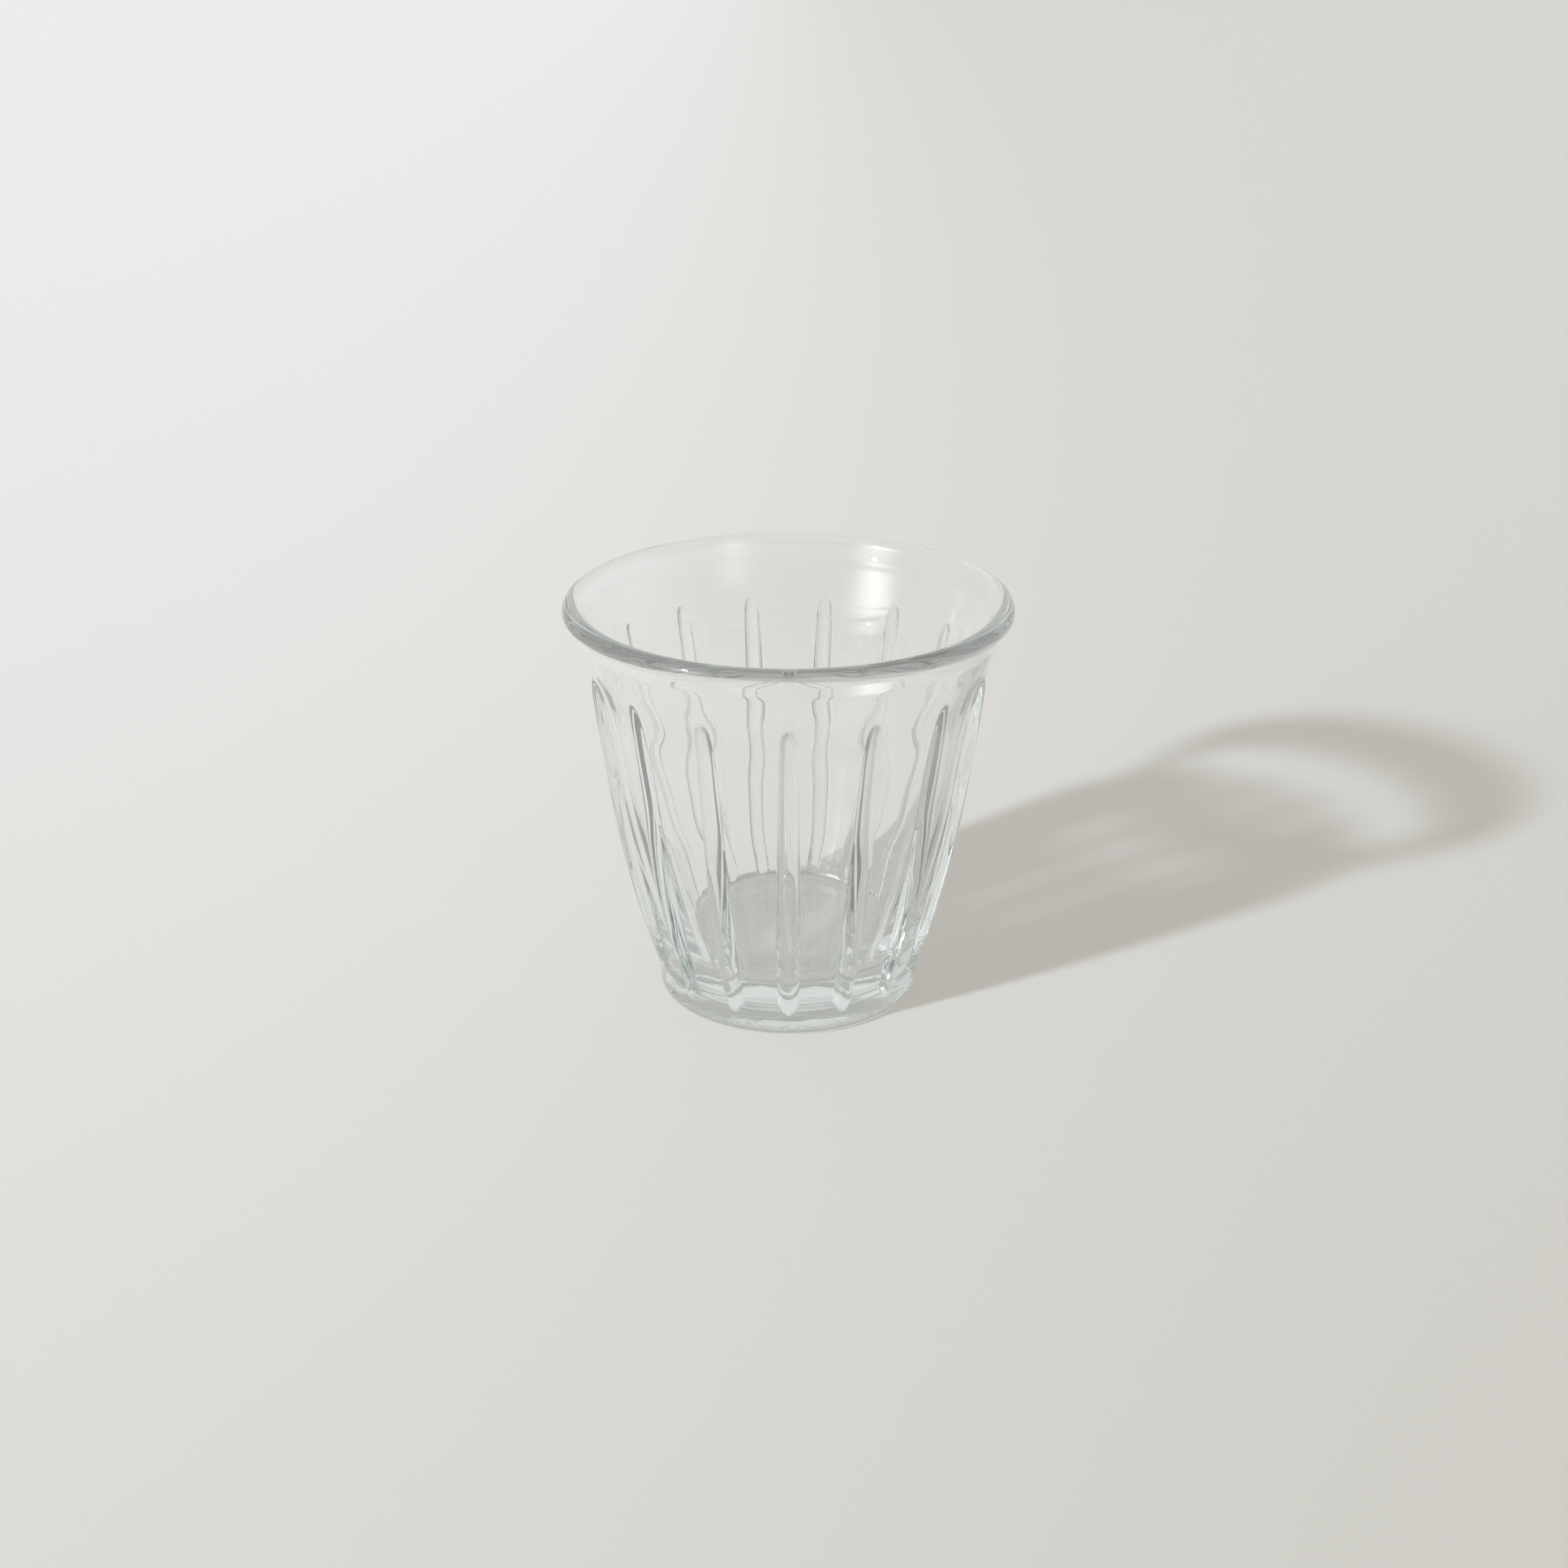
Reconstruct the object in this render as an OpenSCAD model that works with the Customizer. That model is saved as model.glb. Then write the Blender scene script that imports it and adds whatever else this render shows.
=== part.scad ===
// Juice glass of clear pressed glass, one piece: a tapered cup with narrow upright ribs,
// a thick base on a plain round foot, and a plain flared band under a rounded lip.
// It stands on z = 0 with its axis on z, and one rib faces the front, towards -y.

/* [Cup] */
// Overall height
height = 70.8; // [68:0.2:80]
// Diameter over the lip
rim_d = 75; // [73:0.5:82]
// Diameter between the ribs where the flare begins
neck_d = 62.4; // [59:0.2:65]
// Height at which the flare begins
neck_z = 50; // [46:0.5:54]
// Outward bow of the wall between the foot and the flare
wall_bow = 0.7; // [0.2:0.1:1.4]
// Inward bow of the flared band
flare_bow = 0.45; // [0.1:0.05:0.9]

/* [Lip] */
// Thickness of the rounded lip
lip_t = 3.4; // [2.8:0.1:4]
// Height of the lip's root below the brim
lip_h = 4.8; // [4.2:0.1:6]
// How far the lip stands out past its root
lip_out = 1.65; // [1:0.05:2.2]

/* [Foot] */
// Diameter of the foot
foot_d = 45.2; // [42:0.2:48]
// Height of the plain foot
foot_h = 4.6; // [4:0.1:5.6]
// Radius of the foot's bottom edge
foot_edge_r = 0.8; // [0.3:0.1:1.5]
// Height of the cove between the foot and the wall
cove_h = 2.3; // [1.5:0.1:3]
// Depth of the cove
cove_d = 0.45; // [0.1:0.05:0.8]
// Width of the ring that the glass stands on
ring_w = 3; // [2:0.2:6]
// Depth of the hollow under the base
punt_h = 0.8; // [0.3:0.1:1.6]

/* [Inside] */
// Thickness of the glass under the cup
base_t = 8.6; // [6:0.1:10]
// Diameter of the cup's floor
floor_d = 34.8; // [28:0.2:37]
// Radius where the floor turns up into the wall
floor_fillet = 2.5; // [1:0.1:4]
// Thickness of the glass at the neck
wall_t = 2.35; // [1.8:0.05:3]
// Outward bow of the inner wall below the neck
cavity_bow = 1.5; // [0.8:0.1:1.8]
// Inward bow of the inner wall above the neck
cavity_flare_bow = 0.4; // [0:0.05:0.7]

/* [Ribs] */
// Number of ribs
rib_count = 15; // [10:1:16]
// Height at which a rib grows out of the foot
toe_z = 3.85; // [3.4:0.05:4.4]
// Height at which a rib sinks into the flare
tip_z = 60.2; // [57:0.2:62]
// Height at which a rib's front turns from curved to straight
bend_z = 40; // [34:0.5:44]
// How far a rib stands out of the wall
rib_proud = 1.75; // [1.2:0.05:2]
// Radius of a rib's rounded front
rib_r = 2.2; // [2:0.05:2.6]
// Width of a rib at its toe
toe_w = 4.2; // [3.6:0.1:4.3]
// Width of a rib at its tip
tip_w = 2.9; // [2.4:0.1:3.4]

/* [Hidden] */

// Facets of a full turn, of a rib's front and of a rib's long curve
turn_fn = 180;
rib_fn = 40;
sweep_fn = 720;

// Steps along the long curves and round the small radii
long_steps = 12;
flare_steps = 8;
small_steps = 5;

// How far the ribs' hidden ends run on inside the glass, and the cuts past it
toe_tuck = 1.3;
tip_tuck = 3;
overrun = 1;

// How much slimmer a rib's straight length is than its curved one, inside which it ends
bar_step = 0.02;

// Share of the lip's thickness that the wall's top edge fills
lip_fill_share = 0.85;

foot_r = foot_d / 2;
punt_r = foot_r - ring_w;
wall_z = foot_h + cove_h;
neck_r = neck_d / 2;
lip_r = lip_t / 2;
lip_at = [rim_d / 2 - lip_r, height - lip_r];
lip_root = [rim_d / 2 - lip_out, height - lip_h];
floor_r = floor_d / 2;

// Radius at height z on a line from a to b, each [radius, height], that bows out by bow
function bowed(a, b, bow, z) =
    let (t = (z - a.y) / (b.y - a.y)) a.x + (b.x - a.x) * t + 4 * bow * t * (1 - t);

// Points along that line, from step first to step last of so many
function bowed_points(a, b, bow, steps, first, last) =
    [for (i = [first:last])
        let (z = a.y + (b.y - a.y) * i / steps) [bowed(a, b, bow, z), z]];

// Points round an arc, from angle from to angle to
function arc_points(at, r, from, to) =
    [for (i = [0:small_steps])
        let (a = from + (to - from) * i / small_steps) at + r * [cos(a), sin(a)]];

function wall_r(z) = bowed([foot_r, wall_z], [neck_r, neck_z], wall_bow, z);
function flare_r(z) = bowed([neck_r, neck_z], lip_root, -flare_bow, z);

// The wall's top edge: a circle inside the lip's, and the angle on it that a line from the lip's root touches
core_r = lip_r * lip_fill_share;
root_way = lip_root - lip_at;
core_turn = atan2(root_way.y, root_way.x) + acos(core_r / norm(root_way));

// Outside of the cup between the ribs, filled to the axis
module outline() {
    polygon(concat(
        [for (i = [0:small_steps]) let (s = i / small_steps) [punt_r * s, punt_h * (1 - s * s)]],
        arc_points([foot_r - foot_edge_r, foot_edge_r], foot_edge_r, -90, 0),
        bowed_points([foot_r, foot_h], [foot_r, wall_z], -cove_d, small_steps, 0, small_steps),
        bowed_points([foot_r, wall_z], [neck_r, neck_z], wall_bow, long_steps, 1, long_steps),
        bowed_points([neck_r, neck_z], lip_root, -flare_bow, flare_steps, 1, flare_steps),
        [lip_at + core_r * [cos(core_turn), sin(core_turn)], lip_at, [0, lip_at.y]]
    ));
}

// Inside of the cup, filled to the axis and open past the brim
module cavity_outline() {
    foot = [floor_r, base_t];
    neck = [neck_r - wall_t, neck_z];
    rim = lip_at - [core_r, 0];
    // Lean of the wall where it leaves the floor, and the fillet between the two
    lean = atan((neck.x - foot.x + 4 * cavity_bow) / (neck.y - foot.y));
    fillet_at = [floor_r - floor_fillet * tan((90 - lean) / 2), base_t + floor_fillet];
    polygon(concat(
        [[0, base_t]],
        arc_points(fillet_at, floor_fillet, -90, -lean),
        bowed_points(foot, neck, cavity_bow, long_steps, 1, long_steps),
        bowed_points(neck, rim, -cavity_flare_bow, flare_steps, 1, flare_steps),
        [[rim.x, height + overrun], [0, height + overrun]]
    ));
}

// A rib's front runs straight down from its tip to the bend and then round an arc to its toe
tip = [flare_r(tip_z), tip_z];
bend = [wall_r(bend_z) + rib_proud, bend_z];
toe = [foot_r, toe_z];
rise = norm(tip - bend);
along = (tip - bend) / rise;
out = [along.y, -along.x];
rib_lean = atan2(along.x, along.y);
sweep_r = norm(toe - bend) ^ 2 / (-2 * out * (toe - bend));
sweep_at = bend - sweep_r * out;
sweep_angle = 2 * asin(norm(toe - bend) / (2 * sweep_r));
tuck_angle = asin(toe_tuck / sweep_r);

// Round bar that the ribs are cut from, standing in the x-z plane
module bar() {
    translate([bend.x, 0, bend.y])
        rotate([0, rib_lean, 0])
            translate([-rib_r, 0, -overrun])
                cylinder(r = rib_r - bar_step, h = overrun + rise + tip_tuck, $fn = rib_fn);
    translate([sweep_at.x, 0, sweep_at.y])
        rotate([90, 0, 0])
            rotate_extrude(
                start = -rib_lean - sweep_angle - tuck_angle,
                angle = sweep_angle + tuck_angle,
                $fn = sweep_fn
            )
                translate([sweep_r - rib_r, 0])
                    circle(r = rib_r, $fn = rib_fn);
}

// Rib: the bar between two flat flanks that draw together towards the tip
module rib() {
    taper = (toe_w - tip_w) / 2 / (tip_z - toe_z);
    top_z = tip_z + tip_tuck + rib_r;
    intersection() {
        bar();
        rotate([90, 0, 90])
            linear_extrude(rim_d / 2)
                polygon([
                    [-toe_w / 2 - taper * toe_z, 0],
                    [toe_w / 2 + taper * toe_z, 0],
                    [tip_w / 2 - taper * (top_z - tip_z), top_z],
                    [-tip_w / 2 + taper * (top_z - tip_z), top_z]
                ]);
    }
}

module tumbler() {
    color([0.84, 0.91, 0.91, 0.45]) {
        difference() {
            union() {
                rotate_extrude($fn = turn_fn) outline();
                for (i = [0:rib_count - 1])
                    rotate(-90 + i * 360 / rib_count) rib();
            }
            rotate_extrude($fn = turn_fn) cavity_outline();
        }
        rotate_extrude($fn = turn_fn) translate(lip_at) circle(r = lip_r, $fn = rib_fn);
    }
}

tumbler();
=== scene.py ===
import math

import bpy
import numpy as np
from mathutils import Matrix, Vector


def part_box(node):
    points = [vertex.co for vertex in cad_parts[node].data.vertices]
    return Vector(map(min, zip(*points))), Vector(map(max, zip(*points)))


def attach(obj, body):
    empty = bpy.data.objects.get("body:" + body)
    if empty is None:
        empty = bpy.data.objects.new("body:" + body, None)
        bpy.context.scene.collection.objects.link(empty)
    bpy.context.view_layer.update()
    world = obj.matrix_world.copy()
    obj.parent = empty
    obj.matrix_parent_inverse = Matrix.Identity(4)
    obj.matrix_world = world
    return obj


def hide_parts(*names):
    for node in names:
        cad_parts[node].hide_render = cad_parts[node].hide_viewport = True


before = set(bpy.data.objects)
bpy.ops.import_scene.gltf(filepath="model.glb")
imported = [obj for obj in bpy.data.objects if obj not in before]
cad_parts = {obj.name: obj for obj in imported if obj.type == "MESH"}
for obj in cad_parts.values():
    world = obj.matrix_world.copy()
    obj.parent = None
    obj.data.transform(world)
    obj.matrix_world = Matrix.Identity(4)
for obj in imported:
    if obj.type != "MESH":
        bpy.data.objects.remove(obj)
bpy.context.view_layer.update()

# Camera
# A 50 mm lens on a full frame, held a little over a foot from the glass and tipped down at it.
# The place and the tilt were worked out from the ellipses of the rim and the foot.
LENS = 50
SENSOR = 36
EYE = Vector((-0.00074, -0.34401, 0.18442))
TILT_DOWN = math.radians(23.25)

lens = bpy.data.cameras.new("camera")
lens.lens = LENS
lens.sensor_width = SENSOR
camera = bpy.data.objects.new("camera", lens)
camera.location = EYE
camera.rotation_euler = (math.radians(90) - TILT_DOWN, 0, 0)
bpy.context.scene.collection.objects.link(camera)
bpy.context.scene.camera = camera


# Tumbler
# One piece of clear soda-lime glass, pressed in a mould: a tapered cup with narrow round-fronted
# ribs, a thick base on a plain foot, and a flared band under a lip rounded in the flame.
# Sizes here are in millimetres, and the box of the frame's own tumbler gives the overall ones.
MM = 0.001
low, high = (Vector(corner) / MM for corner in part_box("tumbler"))
HEIGHT = high.z - low.z
RIM_R = (high.x - low.x) / 2
RIBS = 15
SECTOR = 2 * math.pi / RIBS

FOOT_R = 22.6
FOOT_EDGE = 0.8
RING_W = 3.0
PUNT = 0.8
COVE_FROM = 4.6
COVE_TO = 6.9
COVE_D = 0.45
FLOOR_FILLET = 2.5
TIP_Z = 60.2

# The wall between the ribs, from the cove to the lip, as heights and radii
WALL = [
    (6.9, 22.6), (15, 24.65), (26, 27.15), (38, 29.3), (49, 31.0),
    (56, 32.55), (60, 33.68), (63, 34.7), (66, 35.85),
]
# The front line of a rib, from inside the foot to inside the flare
FRONT = [
    (0, 21.1), (3.85, 22.6), (9, 24.43), (16.8, 26.76), (26.4, 29.08), (40, 31.43), (48, 32.6),
    (54, 33.4), (57.5, 33.75), (59.2, 33.72), (60.4, 33.35), (62, 32.6), (66, 31),
]
# Radius of a rib's rounded front, which gets slimmer towards the tip
ROUND = [(0, 2.15), (20, 2.1), (32, 1.93), (45, 1.66), (52, 1.55), (66, 1.5)]
# The inside of the cup, from the floor to the lip
CAVITY = [
    (8.6, 17.2), (14, 19.6), (20, 21.8), (28, 24.3), (36, 26.4), (44, 27.6),
    (50, 28.35), (54, 29.1), (58, 30.2), (62, 31.5), (66, 32.9),
]
# The lip's section from the flare over the brim to the inside, as radii short of the rim and
# heights short of the top
LIP = [
    (1.2, 4.0), (0.62, 3.15), (0.2, 2.5), (0.02, 1.75), (0.21, 0.9), (0.72, 0.27), (1.65, 0.01),
    (2.55, 0.22), (3.08, 0.65), (3.42, 1.35), (3.76, 2.2), (4.08, 3.0), (4.4, 3.8),
]
# The panels between the ribs dip a little, by these depths at these heights
DIP = [
    (8, 0), (16, 0.10), (36, 0.13), (50, 0.12), (54, 0.08),
    (58, 0.13), (61, 0.08), (64, -0.01), (67, 0),
]
# How softly the ribs meet the wall, and the wall meets the foot
SOFT_RIB = 0.2
SOFT_WALL = 0.3
# Wall and foot each run on past the cove, sinking by these slopes, so that they cross there
COVE_OVERLAP = 2
WALL_SINK = 2
FOOT_SINK = 0.6
# Share of a rib's radius at which its round front turns into a steep flank, and the flank's slope
ROUND_SHARE = 0.985
FLANK_SLOPE = 5.7


def smooth_line(points):
    """Natural cubic through points of height and radius, as a function of the height."""
    z, r = np.array(points, float).T
    step = np.diff(z)
    rows = np.eye(len(z))
    turn = np.zeros(len(z))
    for i in range(1, len(z) - 1):
        rows[i, i - 1:i + 2] = step[i - 1], 2 * (step[i - 1] + step[i]), step[i]
        turn[i] = 6 * ((r[i + 1] - r[i]) / step[i] - (r[i] - r[i - 1]) / step[i - 1])
    bend = np.linalg.solve(rows, turn)

    def at(height):
        k = np.clip(np.searchsorted(z, height) - 1, 0, len(z) - 2)
        a = (z[k + 1] - height) / step[k]
        b = (height - z[k]) / step[k]
        bow = ((a**3 - a) * bend[k] + (b**3 - b) * bend[k + 1]) * step[k]**2 / 6
        return a * r[k] + b * r[k + 1] + bow

    return at


def soft_max(a, b, soft):
    """The larger of two surfaces, with the crease between them rounded off."""
    share = np.clip(0.5 + 0.5 * (a - b) / soft, 0, 1)
    return b + (a - b) * share + soft * share * (1 - share)


wall_line = smooth_line(WALL)
front_line = smooth_line(FRONT)
round_line = smooth_line(ROUND)
cavity_line = smooth_line(CAVITY)
dip_line = smooth_line(DIP)


def body_radius(z):
    """Outside radius between the ribs: the wall above, the cove, and the upright foot below."""
    wall = wall_line(np.maximum(z, COVE_TO - COVE_OVERLAP)) - WALL_SINK * np.clip(COVE_TO - z, 0, None)
    hollow = np.clip((z - COVE_FROM) / (COVE_TO - COVE_FROM), 0, 1)
    foot = FOOT_R - COVE_D * np.sin(math.pi * hollow)**2 - FOOT_SINK * np.clip(z - COVE_TO, 0, None)
    return soft_max(wall, foot, SOFT_WALL)


def rib_radius(z, side):
    """Outside radius of a rib's rounded front, at a distance side from its middle."""
    front = front_line(z)
    ball = round_line(z)
    reach = np.clip(np.abs(side) / ball, 0, ROUND_SHARE)
    crown = ball * (np.sqrt(1 - reach**2) - 1)
    past = np.clip(np.abs(side) - ROUND_SHARE * ball, 0, None)
    # The last term is the drop of a circle about the glass's axis beside the rib's middle
    return front + crown - FLANK_SLOPE * past - side**2 / (2 * front)


# The mesh's columns follow each rib's flanks, so that its creases stay clean: so many over the rib,
# out to a share of its quarter turn, then some at set distances beside it, and even ones over the
# rest of the panel
COLUMNS_ON_RIB = 33
QUARTER_SHARE = 0.94
BESIDE_RIB = np.array([0.05, 0.11, 0.18, 0.28, 0.42, 0.65, 1.0, 1.5])
COLUMNS_BETWEEN = 7
# Least height of a rib over the wall, and where and how the columns spread again past its tip
LEAST_PROUD = 0.04
SPREAD_FROM = TIP_Z - 1
TIP_HALF_W = 0.3
TIP_SPREAD = 0.3
# Height at which the columns beside a rib have all the room that they are made for
ROOMY_Z = 40
flank_turn = math.pi / 2 * QUARTER_SHARE
ON_RIB = np.sin(np.linspace(-1, 1, COLUMNS_ON_RIB) * flank_turn) / math.sin(flank_turn)


def edge_distance(z):
    """Half the width of a rib where its flanks meet the wall."""
    proud = max(front_line(z) - body_radius(z), LEAST_PROUD)
    ball = round_line(z)
    return math.sqrt(proud * (2 * ball - proud)) if proud < ball else ball


def column_turns(z):
    """Angles of the columns from a rib's middle, for one row at height z."""
    edge = edge_distance(z)
    radius = body_radius(z)
    if z > SPREAD_FROM:
        edge = max(edge, TIP_HALF_W + TIP_SPREAD * max(z - TIP_Z, 0))
    half = SECTOR / 2 * radius
    room = (half - edge) / (half - edge_distance(ROOMY_Z))
    beside = edge + BESIDE_RIB * min(room, 1)
    between = np.linspace(beside[-1], 2 * half - beside[-1], COLUMNS_BETWEEN + 2)[1:-1]
    far = 2 * half - beside[::-1]
    return np.concatenate([ON_RIB * edge, beside, between, far]) / radius


def ring_angles(z):
    """Angles of all columns round the glass, for one row at height z."""
    turns = column_turns(z)
    return np.concatenate([turns + i * SECTOR for i in range(RIBS)])


rings = []


def add_ring(radius, height, columns_at):
    """Add a closed row with the columns of the height columns_at, and one radius or one for each."""
    turn = ring_angles(columns_at)
    across = np.broadcast_to(radius, turn.shape)
    level_row = np.full_like(turn, height)
    rings.append(np.column_stack([across * np.sin(turn), -across * np.cos(turn), level_row]))


# Underside: a shallow hollow inside the ring that the glass stands on, and the foot's rounded edge
PUNT_ROWS = 13
STAND_ROWS = 5
EDGE_ROWS = 8
hollow_r = FOOT_R - RING_W
for share in np.linspace(0, 1, PUNT_ROWS + 1)[1:]:
    add_ring(hollow_r * share, PUNT * (1 - share**2), FOOT_EDGE)
for share in np.linspace(0, 1, STAND_ROWS + 1)[1:]:
    add_ring(hollow_r + (RING_W - FOOT_EDGE) * share, 0, FOOT_EDGE)
for a in np.linspace(0, math.pi / 2, EDGE_ROWS + 1)[1:-1]:
    add_ring(FOOT_R - FOOT_EDGE * (1 - math.sin(a)), FOOT_EDGE * (1 - math.cos(a)), FOOT_EDGE)

# Outside, from the foot's edge up over the toes and tips of the ribs to the lip: the height at which
# each stretch starts, and its number of rows, which is high where the ribs' toes and tips curve
STRETCHES = [(FOOT_EDGE, 5), (3, 36), (9, 79), (54, 37), (61.5, 9)]
LIP_GAP = 1
lip_from = HEIGHT - LIP[0][1] - LIP_GAP
ends = [start for start, _ in STRETCHES[1:]] + [lip_from]
rows = [np.linspace(start, end, count, endpoint=False) for (start, count), end in zip(STRETCHES, ends)]
for z in np.concatenate(rows + [[lip_from]]):
    turn = column_turns(z)
    side = np.where(turn < SECTOR / 2, turn, turn - SECTOR)
    off_middle = np.abs(turn - SECTOR / 2) / (SECTOR / 2)
    dip = dip_line(z) if DIP[0][0] < z < DIP[-1][0] else 0
    body = body_radius(z) - dip * (1 - off_middle**2)**2
    rib = rib_radius(z, np.sin(side) * front_line(z))
    add_ring(np.tile(soft_max(rib, body, SOFT_RIB), RIBS), z, z)

# Lip: one smooth line from the flare over the rounded brim to the inside, which starts and ends
# with a piece of the wall, so that it runs on without a kink
LIP_LEAD = 1.5
LIP_ROWS = 63
lip_to = HEIGHT - LIP[-1][1] - LIP_LEAD
section = [(wall_line(z), z) for z in (lip_from - LIP_LEAD, lip_from)]
section += [(RIM_R - out, HEIGHT - down) for out, down in LIP]
section += [(cavity_line(z), z) for z in (lip_to, lip_to - LIP_LEAD)]
run = np.concatenate([[0], np.cumsum(np.hypot(*np.diff(np.array(section), axis=0).T))])
radius_along = smooth_line([(s, radius) for s, (radius, _) in zip(run, section)])
height_along = smooth_line([(s, height) for s, (_, height) in zip(run, section)])
for s in np.linspace(run[1], run[-2], LIP_ROWS + 1)[1:]:
    add_ring(radius_along(s), height_along(s), lip_from)

# Inside: the wall down to the fillet, with faint waves that the plunger left, and the floor.
# A wave has a depth, a number of swells round the glass, a twist per millimetre up, and a start.
WAVES = [(0.035, 3, 0.11, 0), (0.02, 7, -0.23, 1.3), (0.02, 0, 0.55, 0)]
WAVE_FADE = 4
WALL_ROWS = 89
FILLET_ROWS = 12
FLOOR_ROWS = 11
floor_z = CAVITY[0][0]
fillet_z = floor_z + FLOOR_FILLET
fillet_r = cavity_line(fillet_z)
for z in np.linspace(lip_to, fillet_z, WALL_ROWS + 1)[1:]:
    turn = ring_angles(lip_from)
    fade = min(1, (lip_to - z) / WAVE_FADE, (z - fillet_z) / WAVE_FADE)
    wave = sum(depth * np.sin(swells * turn + twist * z + start) for depth, swells, twist, start in WAVES)
    add_ring(cavity_line(z) + fade * wave, z, lip_from)
for a in np.linspace(0, math.pi / 2, FILLET_ROWS + 1)[1:]:
    inward = FLOOR_FILLET * (1 - math.cos(a))
    upward = FLOOR_FILLET * (1 - math.sin(a))
    add_ring(fillet_r - inward, floor_z + upward, lip_from)
for share in np.linspace(1, 0, FLOOR_ROWS + 1)[1:-1]:
    add_ring((fillet_r - FLOOR_FILLET) * share, floor_z, lip_from)

columns = len(rings[0])
points = [p for ring in rings for p in ring]
underside_middle = len(points)
floor_middle = len(points) + 1
points += [(0, 0, PUNT), (0, 0, floor_z)]
faces = []
for i in range(len(rings) - 1):
    for j in range(columns):
        row = i * columns
        beside = (j + 1) % columns
        faces.append((row + j, row + beside, row + columns + beside, row + columns + j))
last = (len(rings) - 1) * columns
faces += [(underside_middle, (j + 1) % columns, j) for j in range(columns)]
faces += [(floor_middle, last + j, last + (j + 1) % columns) for j in range(columns)]

mesh = bpy.data.meshes.new("glass_tumbler")
mesh.from_pydata([tuple(float(c) * MM for c in p) for p in points], [], faces)
mesh.shade_smooth()
glass_tumbler = bpy.data.objects.new("glass_tumbler", mesh)
bpy.context.scene.collection.objects.link(glass_tumbler)


class Wire:
    """One output of a shader node, or a tree alone. Arithmetic on it adds Math nodes to its tree."""

    def __init__(self, tree, socket=None):
        self.tree = tree
        self.socket = socket

    def node(self, kind, settings=(), inputs=(), output=0):
        """Add a node: its settings first, then the values or wires of its sockets."""
        made = self.tree.nodes.new(kind)
        for name, value in dict(settings).items():
            setattr(made, name, value)
        for name, value in dict(inputs).items():
            if isinstance(value, Wire):
                self.tree.links.new(value.socket, made.inputs[name])
            else:
                made.inputs[name].default_value = value
        return Wire(self.tree, made.outputs[output])

    def feed(self, shader_input):
        """Link this wire to a socket of a shader, an output node or a background."""
        self.tree.links.new(self.socket, shader_input)

    def math(self, operation, *values):
        return self.node("ShaderNodeMath", {"operation": operation}, dict(enumerate(values)))

    def vector(self, operation, *values, output="Vector"):
        return self.node("ShaderNodeVectorMath", {"operation": operation}, dict(enumerate(values)), output)

    def __add__(self, other):
        return self.math("ADD", self, other)

    def __radd__(self, other):
        return self.math("ADD", other, self)

    def __sub__(self, other):
        return self.math("SUBTRACT", self, other)

    def __rsub__(self, other):
        return self.math("SUBTRACT", other, self)

    def __mul__(self, other):
        return self.math("MULTIPLY", self, other)

    def __rmul__(self, other):
        return self.math("MULTIPLY", other, self)

    def __truediv__(self, other):
        return self.math("DIVIDE", self, other)

    def __rtruediv__(self, other):
        return self.math("DIVIDE", other, self)

    def __pow__(self, other):
        return self.math("POWER", self, other)

    def __rpow__(self, other):
        return self.math("POWER", other, self)

    def __gt__(self, other):
        return self.math("GREATER_THAN", self, other)

    def __lt__(self, other):
        return self.math("LESS_THAN", self, other)

    def __or__(self, other):
        """The larger of two."""
        return self.math("MAXIMUM", self, other)

    def __ror__(self, other):
        return self.math("MAXIMUM", other, self)


def ramp(value, stretch, before, after):
    """Smooth step from one number to another, while a wire's value goes over a stretch."""
    settings = {"interpolation_type": "SMOOTHSTEP"}
    low, high = stretch
    sockets = {"Value": value, "From Min": low, "From Max": high, "To Min": before, "To Max": after}
    return value.node("ShaderNodeMapRange", settings, sockets)


def part_of(vector, axis):
    """X, Y or Z of a vector."""
    return vector.node("ShaderNodeSeparateXYZ", {}, {0: vector}, axis)


def way_round(vector):
    """The way that a vector points as seen from above, with a length of one."""
    flat = vector.vector("MULTIPLY", vector, (1, 1, 0))
    return vector.vector("NORMALIZE", flat)


IOR = 1.52
GLASS_TINT = (0.67, 0.84, 0.82, 1)
TINT_PER_METRE = 8
glass = bpy.data.materials.new("clear_pressed_glass")
glass.use_nodes = True
shader = glass.node_tree.nodes["Principled BSDF"]
shader.inputs["Base Color"].default_value = (1, 1, 1, 1)
shader.inputs["IOR"].default_value = IOR
shader.inputs["Transmission Weight"].default_value = 1
glass_end = glass.node_tree.nodes["Material Output"]
in_glass = Wire(glass.node_tree)
tint = in_glass.node("ShaderNodeVolumeAbsorption", {}, {"Color": GLASS_TINT, "Density": TINT_PER_METRE})
tint.feed(glass_end.inputs["Volume"])

# The mould leaves ripples in the skin, strong on the floor and underside and faint on the walls,
# and use dulls the ring that the foot stands on, unevenly. Heights are in millimetres.
RIPPLES = 190
GRAIN = 900
GRAIN_SHARE = 0.12
RIPPLE_DEPTH = 0.00006
FLOOR_TO_WALL = (9, 13)
WALL_RIPPLE_SHARE = 0.03
SCUFFED_ROUGHNESS = 0.3
SCUFFED_HEIGHTS = (0.05, 0.3)
SCUFFED_GRAIN = (0.35, 0.6)
LEAST_SCUFFED_SHARE = 0.3
place = in_glass.node("ShaderNodeTexCoord", output="Object")
level = part_of(place, "Z") * (1 / MM)
broad = in_glass.node("ShaderNodeTexNoise", {}, {"Vector": place, "Scale": RIPPLES, "Detail": 1})
fine = in_glass.node("ShaderNodeTexNoise", {}, {"Vector": place, "Scale": GRAIN, "Detail": 2})
skin = (broad + GRAIN_SHARE * fine) * ramp(level, FLOOR_TO_WALL, 1, WALL_RIPPLE_SHARE)
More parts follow.
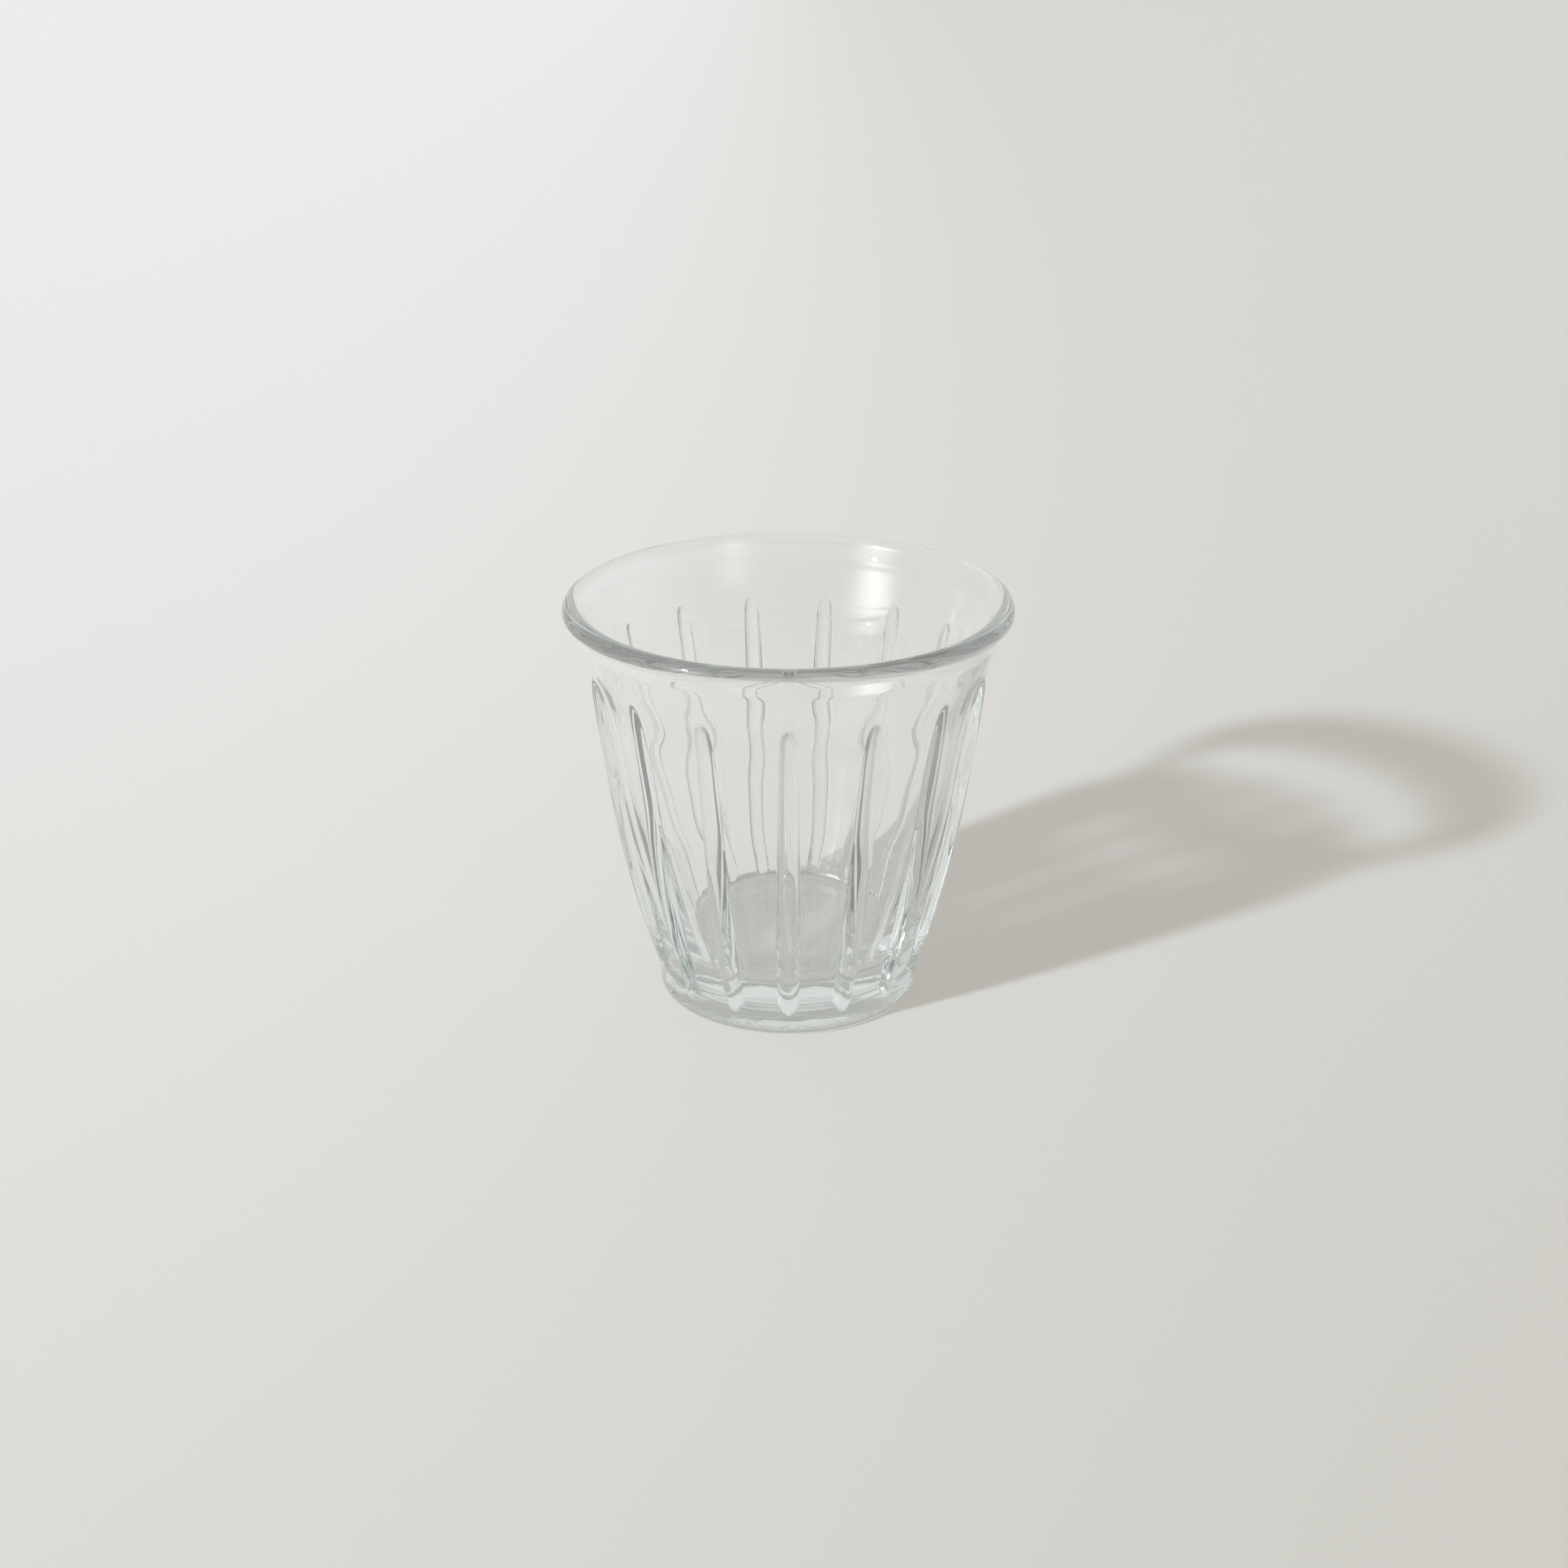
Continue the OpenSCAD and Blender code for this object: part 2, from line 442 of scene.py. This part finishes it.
bump = in_glass.node("ShaderNodeBump", {}, {"Strength": 1, "Distance": RIPPLE_DEPTH, "Height": skin})
bump.feed(shader.inputs["Normal"])
scuffed = ramp(level, SCUFFED_HEIGHTS, SCUFFED_ROUGHNESS, 0)
scuffed = scuffed * ramp(fine, SCUFFED_GRAIN, LEAST_SCUFFED_SHARE, 1)
scuffed.feed(shader.inputs["Roughness"])

# The window's light goes straight through by a share. It is large where a wall faces along the
# radius, small at the ribs' sides, in the foot and in the lip, and all of it on level surfaces and
# on the flared band. That gives the shadow its oval, its bright gap and its outer crescent.
SIDE_SHARE = 0.05
WALL_SHARE = 0.65
SIDE_TO_WALL = (0.85, 0.99)
FOOT_SHARE = 0.1
FOOT_HEIGHTS = (6, 12)
LEVEL_FACES = (0.6, 0.85)
BAND_HEIGHTS = (46, 51)
LIP_SHARE = 0.3
LIP_HEIGHTS = (57.5, 60.5)
normal = in_glass.node("ShaderNodeNewGeometry", output="Normal")
along_radius = in_glass.vector("DOT_PRODUCT", way_round(normal), way_round(place), output="Value")
mirrored = in_glass.node("ShaderNodeFresnel", {}, {"IOR": IOR})
passed = ramp(in_glass.math("ABSOLUTE", along_radius), SIDE_TO_WALL, SIDE_SHARE, WALL_SHARE)
passed = passed * (1 - mirrored) * ramp(level, FOOT_HEIGHTS, FOOT_SHARE, 1)
passed = passed | ramp(in_glass.math("ABSOLUTE", part_of(normal, "Z")), LEVEL_FACES, 0, 1)
passed = passed | ramp(level, BAND_HEIGHTS, 0, 1)
passed = passed * ramp(level, LIP_HEIGHTS, 1, LIP_SHARE)


def ray(output):
    """What Light Path says of the ray that meets the glass."""
    return in_glass.node("ShaderNodeLightPath", output=output)


# The room's light on the table goes straight through, and so does a share of the light that has
# turned back inside the glass more often than the renderer follows it, which would all be lost
MIRRORED_OFTEN = 3.5
TURNED_OFTEN = 11.5
LATE_SHARE = 0.6
late = (ray("Glossy Depth") > MIRRORED_OFTEN) | (ray("Ray Depth") > TURNED_OFTEN)
straight = passed * ray("Is Shadow Ray") | ray("Is Diffuse Ray") | late * LATE_SHARE
unbent = in_glass.node("ShaderNodeBsdfTransparent")
bent = Wire(glass.node_tree, shader.outputs[0])
surface = in_glass.node("ShaderNodeMixShader", {}, {0: straight, 1: bent, 2: unbent})
surface.feed(glass_end.inputs["Surface"])
mesh.materials.append(glass)

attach(glass_tumbler, "root")
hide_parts("tumbler")


# Table
# A plain pale matt surface that runs out past the view on every side. Its colour has the window's light
# painted into it: a little lighter and cooler towards the far left, where the window is, and painted
# shade, darker and warmer, towards the right.
TABLE_R = 30.0
TABLE_CORNERS = 96
TABLE_DARK = (0.62, 0.59, 0.53, 1)
TABLE_LIGHT = (0.93, 0.92, 0.91, 1)
MATT = 0.75
SHINE = 0.2
# The share of the way from the painted shade to the painted light at a spot this far in front of the
# glass, in metres, and how much it changes from there to the right and away, each within about so many
# metres
MIDDLE_FRONT = 0.3
MIDDLE_SHARE = 0.1325
DARKER_RIGHT = 0.30
RIGHT_WITHIN = 0.15
LIGHTER_AWAY = 0.514
AWAY_WITHIN = 0.4

table_mesh = bpy.data.meshes.new("table")
round_table = [i * 2 * math.pi / TABLE_CORNERS for i in range(TABLE_CORNERS)]
corners = [(TABLE_R * math.cos(a), TABLE_R * math.sin(a), 0) for a in round_table]
table_mesh.from_pydata(corners, [], [tuple(range(TABLE_CORNERS))])
table = bpy.data.objects.new("table", table_mesh)
bpy.context.scene.collection.objects.link(table)
matt = bpy.data.materials.new("matt_table")
matt.use_nodes = True
paint = matt.node_tree.nodes["Principled BSDF"]
paint.inputs["Roughness"].default_value = MATT
paint.inputs["Specular IOR Level"].default_value = SHINE
spot = Wire(matt.node_tree).node("ShaderNodeTexCoord", output="Object")
right = part_of(spot, "X")
away = part_of(spot, "Y") + MIDDLE_FRONT


def levelled(way, within):
    """Wire that rises straight through zero and levels off at one each way."""
    return way / (way * way + within**2)**0.5


share = MIDDLE_SHARE - DARKER_RIGHT * levelled(right, RIGHT_WITHIN)
share = share + LIGHTER_AWAY * levelled(away, AWAY_WITHIN)
# Sockets 6 and 7 and output 2 are the Mix node's colours
# The table's colour, with the window's painted light and the painted shade to the right mixed into it
painted_light_and_shade = share.node("ShaderNodeMix", {"data_type": "RGBA"}, {0: share, 6: TABLE_DARK, 7: TABLE_LIGHT}, 2)
painted_light_and_shade.feed(paint.inputs["Base Color"])
table_mesh.materials.append(matt)


# Light
# A small bright patch of window to the left and a little in front gives the shadow. The room
# gives the rest: the window's dim low part, pale walls behind, and darker ones near the camera.
SUN_FROM = Vector((-0.733, -0.534, 0.422)).normalized()
SUN_WIDTH = math.radians(3.5)
SUN_STRENGTH = 2.2
SUN_COLOUR = (0.825, 0.913, 1.0)
sun = bpy.data.lights.new("window_core", "SUN")
sun.energy = SUN_STRENGTH
sun.angle = SUN_WIDTH
sun.color = SUN_COLOUR
sun_ob = bpy.data.objects.new("window_core", sun)
sun_ob.location = SUN_FROM
sun_ob.rotation_euler = (-SUN_FROM).to_track_quat("-Z", "Y").to_euler()
bpy.context.scene.collection.objects.link(sun_ob)

# The room's brightness by direction, as shares of its walls' own: what the ceiling takes and the wall
# behind adds, how bright the wall near the camera is, and what the window and a second one add.
# A pair is the stretch of heights or depths of the direction, from -1 to 1, over which one fades
# into another.
ROOM = (0.76, 0.75, 0.73, 1)
CEILING = -0.25
CEILING_TIGHT = 3
BEHIND = 0.05
BEHIND_AT = (0, 0.9, 0.43)
BEHIND_TIGHT = 6
NEAR_WALL = 0.35
NEAR_TO_BACK = (-0.7, 0.2)
NEAR_WALL_TOP = (0.3, 0.8)
WINDOW = 5.5
WINDOW_AT = (-0.808, -0.589, 0)
WINDOW_TIGHT = 60
WINDOW_SILL = (0.05, 0.2)
WINDOW_TOP = (0.35, 0.65)
WINDOW_TOP_SHARE = 0.1
SECOND = 2.5
SECOND_AT = (0.472, -0.727, 0.5)
SECOND_TIGHT = 90
room = bpy.data.worlds.new("room")
room.use_nodes = True
sky = Wire(room.node_tree).node("ShaderNodeTexCoord", output="Generated")


def glow(way, towards, tightness):
    """Soft round patch of brightness in one direction."""
    near = way.vector("DOT_PRODUCT", way, towards, output="Value")
    return way.math("EXPONENT", (near - 1) * tightness)


up = part_of(sky, "Z")
back = part_of(sky, "Y")
# The window stands from the sill up as a narrow upright band, which dims towards its top
window = glow(way_round(sky), WINDOW_AT, WINDOW_TIGHT)
window = window * ramp(up, WINDOW_TOP, 1, WINDOW_TOP_SHARE) * ramp(up, WINDOW_SILL, 0, 1)
bright = 1 + CEILING * glow(sky, (0, 0, 1), CEILING_TIGHT) + BEHIND * glow(sky, BEHIND_AT, BEHIND_TIGHT)
bright = bright * (ramp(back, NEAR_TO_BACK, NEAR_WALL, 1) | ramp(up, NEAR_WALL_TOP, 0, 1))
bright = bright + WINDOW * window + SECOND * glow(sky, SECOND_AT, SECOND_TIGHT)
room_out = room.node_tree.nodes["Background"]
room_out.inputs["Color"].default_value = ROOM
bright.feed(room_out.inputs["Strength"])
bpy.context.scene.world = room
bpy.context.scene.view_settings.view_transform = "Standard"
